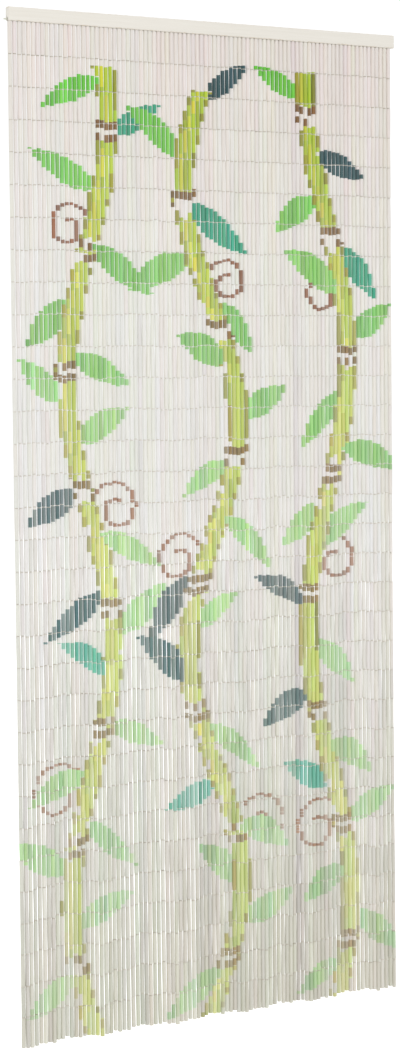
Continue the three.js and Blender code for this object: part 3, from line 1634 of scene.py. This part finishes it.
@dataclass
class BambooStrands:
    """The strands: strings of cut bamboo tubes on wire links.

    Attributes:
        touch: the least air between neighbouring tubes.
        rise: how far the first tube reaches above the strand's top.
        drift: how the joints drift up and down from strand to strand.
        tilt: how far a tube's ends lie off the strand's line.
        thinning: how much the paint pales down a strand, at least and at most: painted light towards
            the foot, by a different amount on each strand.
        foot_eye: the room for the last eye under the last tube.
        bare_tones_and_shade_down: the washed bamboo's tones from the top down, with painted light and
            shade down the curtain.
        map_columns: how many cells the bake map has across.
        eye_twist: how far two linked eyes are off a right angle, in radians.
        lean_step: the part of a strand over which its lean is measured.
    """

    row: StrandRow
    design: PaintedDesign
    tubes: int = 32
    strands_a_piece: int = 5
    diameter: float = 8.2 * MM
    diameter_spread: float = 0.16 * MM
    touch: float = 0.1 * MM
    gap: float = 0.5 * MM
    gap_spread: float = 0.2 * MM
    gap_least: float = 0.2 * MM
    gap_most: float = 1.2 * MM
    rise: float = 0.4 * MM
    joint_spread: float = 0.54 * MM
    drift: tuple[Wave, ...] = (
        Wave(1.5 * MM, 0.29, 0.6, 9.0, 1),
        Wave(1.1 * MM, 0.97, 2.2, 14.0, 1),
    )
    tilt: float = 0.15 * MM
    oval_spread: float = 0.012
    oval_limits: tuple[float, float] = (0.97, 1.03)
    seed_range: tuple[float, float] = (0.0, 5.0)
    thinning: tuple[float, float] = (0.05, 0.5)
    fade_and_thinning_spread: tuple[float, float] = (0.8, 1.2)
    foot_eye: float = 1.3 * MM
    bare_tones_and_shade_down: tuple[Colour, ...] = (
        linear(239, 232, 226),
        linear(244, 242, 236),
        linear(245, 243, 238),
        linear(232, 231, 223),
        linear(222, 220, 207),
    )
    spread_top: float = 0.010
    spread_foot: float = 0.055
    tube_share: float = 0.6
    strand_cast: float = 0.012
    tube_cast: float = 0.007
    lightest: float = 0.92
    map_columns: int = 20
    link_pieces: int = 3
    wire: float = 0.85 * MM
    eye_half: float = 1.3 * MM
    eye_leg: float = 5.5 * MM
    eye_shoulder: float = 0.9
    eye_turn: tuple[float, float] = (0.62, 0.22)
    eye_twist: float = 0.4
    lean_step: float = 0.01

    def joints(self) -> np.ndarray:
        """Gives the depth of every joint, one row for each strand, from its top to its end.

        Returns:
            The depths, from 0 to 1.
        """
        rng = Draw.JOINTS.start()
        strand = np.arange(self.row.count, dtype=float)[:, None]
        depth = np.linspace(0.0, 1.0, self.tubes + 1)[None, :]
        length = self.row.top - self.row.end_z(strand)
        shift = sum(wave.at(strand, depth) for wave in self.drift)
        shift = shift + rng.normal(0.0, self.joint_spread, (self.row.count, self.tubes + 1))
        shift[:, 0] = 0.0
        shift[:, -1] = 0.0
        return depth + shift / length

    def tube_points(self, joints: np.ndarray) -> Points:
        """Works out every tube's place, turn, size, tone and paint.

        Args:
            joints: the joints' depths.

        Returns:
            The tubes' places, from the first strand's top.
        """
        rng = Draw.TUBES.start()
        strand = np.repeat(np.arange(self.row.count), self.tubes)
        tube = np.tile(np.arange(self.tubes), self.row.count)
        upper = self.row.centre(strand, joints[strand, tube])
        lower = self.row.centre(strand, joints[strand, tube + 1])
        gap = rng.normal(self.gap, self.gap_spread, (len(strand), 2))
        half_gap = gap.clip(self.gap_least, self.gap_most) / 2
        half_gap[tube == 0, 0] = -self.rise
        half_gap[tube == self.tubes - 1, 1] = self.foot_eye
        along = (upper - lower) / np.linalg.norm(upper - lower, axis=1, keepdims=True)
        upper = upper - along * half_gap[:, :1]
        lower = lower + along * half_gap[:, 1:]
        lean = rng.normal(0.0, self.tilt, (len(strand), 2))
        upper[:, :2] += lean * (tube > 0)[:, None]
        lower[:, :2] -= lean
        middle = (upper + lower) / 2
        length = np.linalg.norm(upper - lower, axis=1)
        depth = (joints[strand, tube] + joints[strand, tube + 1]) / 2
        room = self.row.room(strand.astype(float), depth) - self.touch
        diameter = rng.normal(self.diameter, self.diameter_spread, len(strand))
        diameter = np.minimum(diameter, room)
        oval = rng.normal(1.0, self.oval_spread, len(strand)).clip(*self.oval_limits)
        spin = rng.uniform(0, 2 * math.pi, len(strand))
        turn = np.array([self.turn_to(up - low, angle) for up, low, angle in zip(upper, lower, spin)])
        size = np.stack([diameter / 2 * oval, diameter / 2 / oval, length], axis=1)
        carried = {
            "seed": ("FLOAT", rng.uniform(*self.seed_range, len(strand))),
            "half": ("FLOAT", length / 2),
            # The bare tone carries painted light and shade down the curtain.
            "bare": ("FLOAT_COLOR", self.bare_tones_and_shade(strand, depth, rng)),
        }
        carried.update(self.paint(strand, tube, upper, lower))
        return Points(middle, turn, size, carried)

    @staticmethod
    def turn_to(direction: np.ndarray, spin: float) -> tuple[float, float, float]:
        """Gives the turn that points a shape's own height along a direction, spun about it."""
        lean = Vector(direction).to_track_quat("Z", "Y")
        return tuple((lean @ Quaternion((0.0, 0.0, 1.0), spin)).to_euler())

    def bare_tones_and_shade(
        self, strand: np.ndarray, depth: np.ndarray, rng: np.random.Generator
    ) -> np.ndarray:
        """Gives each tube's washed tone, a little pink, green or grey from tube to tube, with painted
        light and shade down the curtain.

        Args:
            strand: each tube's strand.
            depth: how far down each tube is, from 0 to 1.
            rng: the source of random numbers.

        Returns:
            One colour with alpha for each tube.
        """
        # The stops down the curtain are painted light and shade: lighter in the middle, darker towards
        # the foot.
        stops = np.array(self.bare_tones_and_shade_down)
        levels = np.linspace(0.0, 1.0, len(stops))
        base = np.stack([np.interp(depth, levels, stops[:, part]) for part in range(3)], axis=1)
        spread = self.spread_top + (self.spread_foot - self.spread_top) * depth[:, None]
        by_strand = 1 + spread * rng.normal(0.0, 1.0, (self.row.count, 1))[strand]
        by_tube = 1 + spread * rng.normal(0.0, self.tube_share, (len(strand), 1))
        cast = rng.normal(0.0, self.strand_cast, (self.row.count, 3))[strand]
        cast = cast + rng.normal(0.0, self.tube_cast, (len(strand), 3))
        tone = np.clip(base * by_strand * by_tube * (1 + cast), 0.0, self.lightest)
        return np.column_stack([tone, np.ones(len(strand))])

    def paint(
        self, strand: np.ndarray, tube: np.ndarray, upper: np.ndarray, lower: np.ndarray
    ) -> dict[str, tuple[str, np.ndarray]]:
        """Gives the stretches of paint on each tube, as colours and reaches by name.

        Args:
            strand: each tube's strand.
            tube: each tube's number down its strand.
            upper: the tubes' upper ends.
            lower: their lower ends.

        Returns:
            The values of each attribute, with its type.
        """
        limit = PaintedCaneFinish.bands
        colours = np.ones((limit, len(strand), 4))
        reaches = np.zeros((limit, len(strand), 3))
        rng = Draw.THINNING.start()
        thin = rng.uniform(*self.thinning, self.row.count)[strand]
        thin = thin * rng.uniform(*self.fade_and_thinning_spread, len(strand))
        # Paint shows less towards the foot as painted light, by a different amount on each strand and
        # tube.
        strength = 1.0 - thin * tube / self.tubes
        for number in range(len(strand)):
            top = self.row.top - upper[number, 2]
            bottom = self.row.top - lower[number, 2]
            bands = self.design.bands(int(strand[number]), int(tube[number]), top, bottom)
            bands.sort(key=lambda band: band.low - band.high)
            for slot, band in enumerate(bands[:limit]):
                colours[slot, number, :3] = band.colour
                reaches[slot, number] = (band.low, band.high, strength[number])
        found: dict[str, tuple[str, np.ndarray]] = {}
        for slot in range(limit):
            found[f"paint_{slot + 1}"] = ("FLOAT_COLOR", colours[slot])
            found[f"reach_{slot + 1}"] = ("FLOAT_VECTOR", reaches[slot])
        return found

    def eye_path(self) -> tuple[tuple[float, float], ...]:
        """Gives the centre line of an eye: two legs and the bend between them.

        Returns:
            Places across and up.
        """
        half = self.eye_half
        low = -self.wire / 2
        shoulder = low + half * self.eye_shoulder
        aside, above = (half * part for part in self.eye_turn)
        return (
            (-half, self.eye_leg),
            (-half, shoulder),
            (-aside, low + above),
            (0.0, low),
            (aside, low + above),
            (half, shoulder),
            (half, self.eye_leg),
        )

    def link_points(self, joints: np.ndarray, strands: np.ndarray) -> Points:
        """Works out the place and turn of the two eyes at every joint, and of the eye at each end.

        Args:
            joints: the joints' depths.
            strands: the strands' numbers.

        Returns:
            The eyes' places.
        """
        rng = Draw.EYES.start(int(strands[0]))
        places = []
        turns = []
        flip = Quaternion((1.0, 0.0, 0.0), math.pi)
        for strand in strands:
            for joint in range(1, self.tubes + 1):
                depth = joints[strand, joint]
                here = self.row.centre(np.array(float(strand)), depth)
                above = self.row.centre(np.array(float(strand)), depth - self.lean_step)
                lean = Vector(above - here).to_track_quat("Z", "Y")
                spin = Quaternion((0.0, 0.0, 1.0), rng.uniform(0, 2 * math.pi))
                twist = rng.uniform(-self.eye_twist, self.eye_twist)
                cross = Quaternion((0.0, 0.0, 1.0), math.pi / 2 + twist)
                if joint == self.tubes:
                    here = here + np.array([0.0, 0.0, self.wire])
                places.append(here)
                turns.append(tuple((lean @ spin).to_euler()))
                if joint < self.tubes:
                    places.append(here)
                    turns.append(tuple((lean @ spin @ cross @ flip).to_euler()))
        count = len(places)
        return Points(np.array(places), np.array(turns), np.ones((count, 3)))

    def build(self, tree: HangingTree, cane: bpy.types.Material, wire: bpy.types.Material) -> None:
        """Makes the pieces of tubes and of links.

        Args:
            tree: the tree that repeats shapes.
            cane: the tubes' finish.
            wire: the links' finish.
        """
        joints = self.joints()
        points = self.tube_points(joints)
        shapes = [CaneTube().mesh(shape) for shape in CaneShape]
        share = self.strands_a_piece * self.tubes
        for number in range(self.row.count // self.strands_a_piece):
            part = slice(number * share, (number + 1) * share)
            own = Points(
                points.place[part],
                points.turn[part],
                points.size[part],
                {key: (kind, values[part]) for key, (kind, values) in points.carried.items()},
            )
            name = f"bamboo_tubes_{number + 1:02d}"
            grid = (self.map_columns, share // self.map_columns)
            piece = tree.hang(name, own, shapes, cane, grid, SEED + number)
            settle(piece, "bamboo", "hung_strands")
        plane = (Vector((1.0, 0.0, 0.0)), Vector((0.0, 0.0, 1.0)))
        eye = BentWire(self.eye_path(), plane, self.wire).mesh("eye")
        for number, strands in enumerate(np.array_split(np.arange(self.row.count), self.link_pieces)):
            own = self.link_points(joints, strands)
            side = math.ceil(math.sqrt(len(own.place)))
            name = f"wire_eyes_{number + 1}"
            piece = tree.hang(name, own, [eye], wire, (side, side), SEED)
            settle(piece, "steel", "hung_strands")


@dataclass
class HangingRod:
    """The steel rod in the rail's groove, and the ring and stem that hang each strand from it.

    Attributes:
        ring_drop: how far the rings hang below the rod's axis.
        ring_gap: half of a ring's open foot, in degrees.
        stem_bend: how far below the ring the stem bends into it.
        twist: how far the hangers turn to and fro, in radians.
        strips: how much of the bake map each stretch of the rod takes.
    """

    row: StrandRow
    diameter: float = 3 * MM
    length: float = 906 * MM
    shift: float = -7.5 * MM
    height: float = -10 * MM
    chamfer: float = 0.35 * MM
    sides: int = 16
    wire: float = 0.55 * MM
    ring_radius: float = 1.8 * MM
    ring_drop: float = 0.05 * MM
    ring_gap: float = 24.0
    ring_stops: int = 11
    stem: float = 8.5 * MM
    stem_bend: float = 0.9 * MM
    twist: float = 0.12
    map_grid: tuple[int, int] = (10, 9)
    strips: tuple[float, ...] = (0.05, 0.9, 0.05)
    sharp: frozenset[int] = frozenset({0, 1, 2, 3})

    def build_rod(self, finish: bpy.types.Material) -> None:
        """Makes the rod, with its ends chamfered.

        Args:
            finish: the rod's finish.
        """
        radius = self.diameter / 2
        half = self.length / 2
        stations = [
            (-half, radius - self.chamfer),
            (-half + self.chamfer, radius),
            (half - self.chamfer, radius),
            (half, radius - self.chamfer),
        ]
        turns = np.arange(self.sides) * 2 * math.pi / self.sides
        rings = tuple(
            np.stack(
                [
                    np.full(self.sides, self.shift + x),
                    self.row.middle_y + r * np.cos(turns),
                    self.height + r * np.sin(turns),
                ],
                axis=1,
            )
            for x, r in stations
        )
        strips = StripMesh(rings, self.strips, closed=False, sharp_rings=self.sharp)
        mesh = strips.build("hanging_rod")
        mesh.attributes.remove(mesh.attributes["cell_uv"])
        face_outwards(mesh)
        mesh.materials.append(finish)
        rod = bpy.data.objects.new("hanging_rod", mesh)
        bpy.context.scene.collection.objects.link(rod)
        settle(rod, "steel", "hung_strands")

    def ring_path(self) -> tuple[tuple[float, float], ...]:
        """Gives the centre line of a hanger: up its stem and once round the rod.

        Returns:
            Places across and up.
        """
        gap = math.radians(self.ring_gap)
        path = [(0.0, -self.stem), (0.0, -self.ring_radius - self.stem_bend)]
        for stop in range(self.ring_stops):
            turn = -math.pi / 2 + gap + (2 * math.pi - 2 * gap) * stop / (self.ring_stops - 1)
            path.append((self.ring_radius * math.cos(turn), self.ring_radius * math.sin(turn)))
        return tuple(path)

    def build_hangers(self, tree: HangingTree, finish: bpy.types.Material) -> None:
        """Makes the hangers, one for each strand.

        Args:
            tree: the tree that repeats shapes.
            finish: the hangers' finish.
        """
        plane = (Vector((0.0, 1.0, 0.0)), Vector((0.0, 0.0, 1.0)))
        hanger = BentWire(self.ring_path(), plane, self.wire).mesh("hanger")
        strand = np.arange(self.row.count, dtype=float)
        place = self.row.centre(strand, np.zeros(self.row.count))
        place[:, 2] = self.height - self.ring_drop
        rng = Draw.HANGERS.start()
        turn = np.zeros((self.row.count, 3))
        turn[:, 2] = rng.uniform(-self.twist, self.twist, self.row.count)
        turn[:, 2] += math.pi * rng.integers(0, 2, self.row.count)
        points = Points(place, turn, np.ones((self.row.count, 3)))
        piece = tree.hang("strand_hangers", points, [hanger], finish, self.map_grid, SEED)
        settle(piece, "steel", "hung_strands")


@dataclass
class GroovedRail:
    """The flat batten at the top, with the groove for the rod along its underside.

    Attributes:
        groove_step: how far along the groove takes to widen into the pocket.
        face_rows: where the front and the back have points up their height.
        groove_edge: how much wear the groove's lips get, from 0 to 1.
        end_face_edge: how much the ends get.
        end_edge: how much the edges of the ends get.
        near_end_edge: how much the last stretch before them gets.
        sharp_angle: the angle in degrees from which an edge is crisp.
    """

    row: StrandRow
    length: float = 906 * MM
    depth: float = 12 * MM
    height: float = 26 * MM
    corner: float = 1.6 * MM
    under_corner: float = 2.6 * MM
    corner_steps: int = 5
    end_chamfer: float = 0.5 * MM
    groove: float = 3.6 * MM
    groove_top: float = -7.6 * MM
    pocket: float = 5 * MM
    pocket_reach: float = 2.5 * MM
    groove_step: float = 0.4 * MM
    station_pitch: float = 22 * MM
    face_rows: tuple[float, ...] = (0.25, 0.5, 0.75)
    groove_edge: float = 0.2
    end_face_edge: float = 0.5
    end_edge: float = 0.6
    near_end_edge: float = 0.2
    sharp_angle: float = 40.0

    def outline(self, groove: float, inset: float) -> list[tuple[float, float, float]]:
        """Gives the cross-section as y, z and how near each point is to an edge, from 0 to 1.

        Args:
            groove: the groove's width.
            inset: how far the section is drawn in.

        Returns:
            The points, in order round the section.
        """
        radius = self.corner
        rounder = self.under_corner
        front = -self.depth + inset
        back = -inset
        top = self.height / 2 - inset
        under = -self.height / 2 + inset
        centres = (
            (back - radius, top - radius, 0.0),
            (front + radius, top - radius, 90.0),
            (front + rounder, under + rounder, 180.0),
        )
        points: list[tuple[float, float, float]] = []

        def corner(y: float, z: float, start: float, reach: float) -> None:
            """Adds a rounded corner.

            Args:
                y: the corner's centre, front to back.
                z: the corner's centre, up.
                start: its first turn in degrees.
                reach: its radius.
            """
            for step in range(self.corner_steps + 1):
                turn = math.radians(start + 90 * step / self.corner_steps)
                nearness = math.sin(math.pi * step / self.corner_steps)
                points.append((y + reach * math.cos(turn), z + reach * math.sin(turn), nearness))

        corner(*centres[0], radius)
        points.append(((front + back) / 2, top, 0.0))
        corner(*centres[1], radius)
        for share in reversed(self.face_rows):
            points.append((front, under + rounder + (top - under - radius - rounder) * share, 0.0))
        corner(*centres[2], rounder)
        middle = self.row.middle_y
        for y, z in (
            (middle - groove / 2, under),
            (middle - groove / 2, self.groove_top),
            (middle + groove / 2, self.groove_top),
            (middle + groove / 2, under),
        ):
            points.append((y, z, self.groove_edge))
        corner(back - radius, under + radius, 270.0, radius)
        for share in self.face_rows:
            points.append((back, under + radius + (top - under - 2 * radius) * share, 0.0))
        return points

    def stations(self) -> list[tuple[float, float, float, float]]:
        """Gives the places along the rail, each with its groove, its inset and its edge value.

        Returns:
            The stations, from left to right.
        """
        half = self.length / 2
        ends = self.row.centre(np.array([0.0, self.row.count - 1.0]), np.zeros(2))[:, 0]
        first = float(ends[0]) - self.pocket_reach
        last = float(ends[1]) + self.pocket_reach
        found = [
            (-half, self.groove, self.end_chamfer, self.end_face_edge),
            (-half + self.end_chamfer, self.groove, 0.0, self.end_edge),
            (first - self.groove_step, self.groove, 0.0, self.near_end_edge),
            (first, self.pocket, 0.0, 0.0),
        ]
        inner = max(1, round((last - first) / self.station_pitch))
        found += [(first + (last - first) * n / inner, self.pocket, 0.0, 0.0) for n in range(1, inner)]
        found += [
            (last, self.pocket, 0.0, 0.0),
            (last + self.groove_step, self.groove, 0.0, 0.0),
            (half - 3 * self.end_chamfer, self.groove, 0.0, self.near_end_edge),
            (half - self.end_chamfer, self.groove, 0.0, self.end_edge),
            (half, self.groove, self.end_chamfer, self.end_face_edge),
        ]
        return found

    def build(self, finish: bpy.types.Material) -> None:
        """Makes the rail.

        Args:
            finish: the rail's finish.
        """
        rail = bmesh.new()
        edge = rail.verts.layers.float.new("edge")
        rings = []
        for x, groove, inset, end in self.stations():
            ring = []
            for y, z, nearness in self.outline(groove, inset):
                vert = rail.verts.new((x, y, z))
                vert[edge] = min(1.0, max(end, nearness))
                ring.append(vert)
            rings.append(ring)
        count = len(rings[0])
        for here, after in zip(rings[:-1], rings[1:]):
            for side in range(count):
                beside = (side + 1) % count
                rail.faces.new((here[side], here[beside], after[beside], after[side]))
        rail.faces.new(rings[0][::-1])
        rail.faces.new(rings[-1])
        mesh = bpy.data.meshes.new("rail_batten")
        if rail.calc_volume(signed=True) < 0:
            bmesh.ops.reverse_faces(rail, faces=rail.faces)
        sharp_angle = math.radians(self.sharp_angle)
        for line in rail.edges:
            line.smooth = line.calc_face_angle(0.0) < sharp_angle
        for face in rail.faces:
            face.smooth = True
        rail.to_mesh(mesh)
        rail.free()
        mesh.materials.append(finish)
        piece = bpy.data.objects.new("rail_batten", mesh)
        bpy.context.scene.collection.objects.link(piece)
        settle(piece, "rail_paint", "rail")


# The room round it


@dataclass(frozen=True)
class PhotoCamera:
    """The camera that the photograph was taken with, fitted to the curtain's corners."""

    azimuth: float = -32.51
    elevation: float = 3.30
    roll: float = -0.55
    distance: float = 5.240
    lens: float = 89.55
    sensor: float = 36.0
    aim: tuple[float, float, float] = (-0.0317, -0.006, -0.9889)
    clip_end: float = 200.0

    def place(self) -> None:
        """Makes the camera the scene's own."""
        turn = math.radians(self.azimuth)
        rise = math.radians(self.elevation)
        roll = math.radians(self.roll)
        back = Vector(
            (math.sin(turn) * math.cos(rise), -math.cos(turn) * math.cos(rise), math.sin(rise))
        )
        right = Vector((math.cos(turn), math.sin(turn), 0.0))
        up = back.cross(right)
        own_x = right * math.cos(roll) + up * math.sin(roll)
        own_y = up * math.cos(roll) - right * math.sin(roll)
        data = bpy.data.cameras.new("photo_camera")
        data.lens = self.lens
        data.sensor_width = self.sensor
        data.sensor_fit = "AUTO"
        data.clip_end = self.clip_end
        camera = bpy.data.objects.new("photo_camera", data)
        pose = Matrix((own_x, own_y, back)).transposed().to_4x4()
        pose.translation = Vector(self.aim) + back * self.distance
        camera.matrix_world = pose
        bpy.context.scene.collection.objects.link(camera)
        bpy.context.scene.camera = camera


@dataclass(frozen=True)
class StudioLight:
    """A studio light that looks at a point of the curtain: a square softbox, or a lamp with a beam.

    Attributes:
        name: its name.
        azimuth: which way it stands from the target, in degrees to the right of the front.
        elevation: how far it stands above the target, in degrees.
        distance: how far it stands from the target.
        size: the softbox's side, or the lamp's width.
        power: its power in watts.
        target: the point that it looks at.
        beam: the full angle of a lamp's beam in degrees, or 0 for a softbox.
    """

    name: str
    azimuth: float
    elevation: float
    distance: float
    size: float
    power: float
    target: tuple[float, float, float]
    beam: float = 0.0

    def place(self) -> None:
        """Makes the light."""
        turn = math.radians(self.azimuth)
        rise = math.radians(self.elevation)
        back = Vector(
            (math.sin(turn) * math.cos(rise), -math.cos(turn) * math.cos(rise), math.sin(rise))
        )
        data = bpy.data.lights.new(self.name, "SPOT" if self.beam else "AREA")
        if self.beam:
            data.spot_size = math.radians(self.beam)
            data.spot_blend = 1.0
            data.shadow_soft_size = self.size / 2
        else:
            data.shape = "SQUARE"
            data.size = self.size
        data.energy = self.power
        light = bpy.data.objects.new(self.name, data)
        light.rotation_euler = back.to_track_quat("Z", "Y").to_euler()
        light.location = Vector(self.target) + back * self.distance
        bpy.context.scene.collection.objects.link(light)


@dataclass(frozen=True)
class Studio:
    """A plain pale floor, white surroundings and soft light."""

    floor_z: float = -2.05
    floor_size: float = 60.0
    near_glow: float = 0.8
    far_glow: float = 0.27
    glow_reach: tuple[float, float] = (9.0, 28.0)
    floor_tone: Colour = (0.9, 0.9, 0.9)
    floor_roughness: float = 0.9
    white: Colour = (1.0, 1.0, 1.0)
    ambient: float = 0.865
    backdrop: float = 1.05
    lights: tuple[StudioLight, ...] = (
        StudioLight("front_softbox", -34.0, 12.0, 2.4, 3.0, 10.0, (0.0, 0.0, -0.15)),
        StudioLight("left_lamp", -80.0, -4.0, 4.5, 0.5, 620.0, (0.0, 0.0, -1.95), 34.0),
    )

    def place_world(self) -> None:
        """Makes the surroundings: softer as light than they look to the camera."""
        world = bpy.data.worlds.new("white_surroundings")
        world.use_nodes = True
        tree = world.node_tree
        tree.nodes.clear()
        shader = Shader(tree)
        path = shader.node("ShaderNodeLightPath")
        strength = shader.sum(
            "ADD",
            shader.sum("MULTIPLY", path.outputs["Is Camera Ray"], self.backdrop - self.ambient),
            self.ambient,
        )
        white = shader.node("ShaderNodeBackground")
        white.inputs["Color"].default_value = opaque(self.white)
        shader.feed(white.inputs["Strength"], strength)
        out = shader.node("ShaderNodeOutputWorld")
        shader.feed(out.inputs["Surface"], white.outputs["Background"])
        bpy.context.scene.world = world

    def place_floor(self) -> None:
        """Makes the floor, whose glow fades with distance into that of the surroundings."""
        half = self.floor_size / 2
        mesh = bpy.data.meshes.new("studio_floor")
        corners = [(-half, -half), (half, -half), (half, half), (-half, half)]
        mesh.from_pydata([(x, y, self.floor_z) for x, y in corners], [], [(0, 1, 2, 3)])
        material, shader, principled = new_material("studio_floor")
        away = shader.node("ShaderNodeVectorMath", operation="LENGTH")
        shader.feed(away.inputs[0], shader.node("ShaderNodeNewGeometry").outputs["Position"])
        glow = shader.ramp(away.outputs["Value"], *self.glow_reach, self.near_glow, self.far_glow)
        shader.feed(principled.inputs["Emission Strength"], glow)
        principled.inputs["Base Color"].default_value = opaque(self.floor_tone)
        principled.inputs["Roughness"].default_value = self.floor_roughness
        principled.inputs["Specular IOR Level"].default_value = 0.0
        principled.inputs["Emission Color"].default_value = opaque(self.white)
        mesh.materials.append(material)
        floor = bpy.data.objects.new("studio_floor", mesh)
        bpy.context.scene.collection.objects.link(floor)
        floor.visible_diffuse = False
        floor.visible_glossy = False

    def place(self) -> None:
        """Makes the whole studio."""
        bpy.context.scene.view_settings.view_transform = "Standard"
        self.place_world()
        self.place_floor()
        for light in self.lights:
            light.place()


def main() -> None:
    """Builds the curtain in order."""
    logging.basicConfig(level=logging.INFO, format="%(name)s: %(message)s")
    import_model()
    PhotoCamera().place()
    Studio().place()
    effects = SharedEffects()
    cane = PaintedCaneFinish().material(effects)
    wire = DrawnWireFinish().material(effects)
    rail_paint = RailPaintFinish().material(effects)
    row = StrandRow()
    tree = HangingTree()
    GroovedRail(row).build(rail_paint)
    rod = HangingRod(row)
    rod.build_rod(wire)
    rod.build_hangers(tree, wire)
    BambooStrands(row, PaintedDesign(row)).build(tree, cane, wire)


if __name__ == "__main__":
    main()
